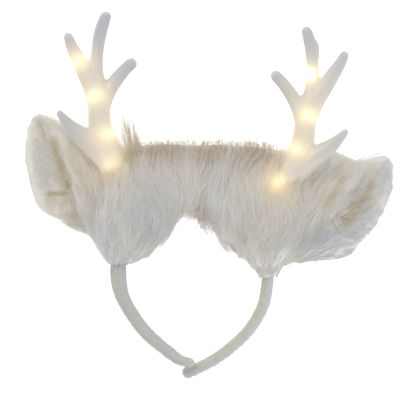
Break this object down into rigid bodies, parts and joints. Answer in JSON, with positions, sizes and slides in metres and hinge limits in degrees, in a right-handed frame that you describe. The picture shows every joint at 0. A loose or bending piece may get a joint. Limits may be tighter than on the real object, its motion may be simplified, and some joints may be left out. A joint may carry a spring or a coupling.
{
  "type": "light-up reindeer antler headband",
  "caption": "Plush-covered headband with a long-pile fur wrap, floppy animal ears and frosted branching antlers lit from inside, lying on its back.",
  "frame": {"origin": "on the table under the middle of the band's crown, at the flattened back of the fur wrap", "axes": "+Z out of the headband's front, away from the table it lies on; +Y up the antlers; +X to the wearer's left, the right of a front view"},
  "size_m": [0.2531, 0.2493, 0.0473],
  "materials": {
    "band_plush": "short-nap plush",
    "long_pile": "long-pile faux fur",
    "short_plush": "short-pile plush",
    "frosted_plastic": "translucent, frosted",
    "lamp_resin": "clear, lit warm white"
  },
  "bodies": {
    "root": {"headband": "band_plush", "crown_wrap": "long_pile", "left_ear": "long_pile", "right_ear": "long_pile", "left_ear_lining": "short_plush", "right_ear_lining": "short_plush", "left_antler": "frosted_plastic", "right_antler": "frosted_plastic", "left_lights": "lamp_resin", "right_lights": "lamp_resin"}
  },
  "joints": []
}
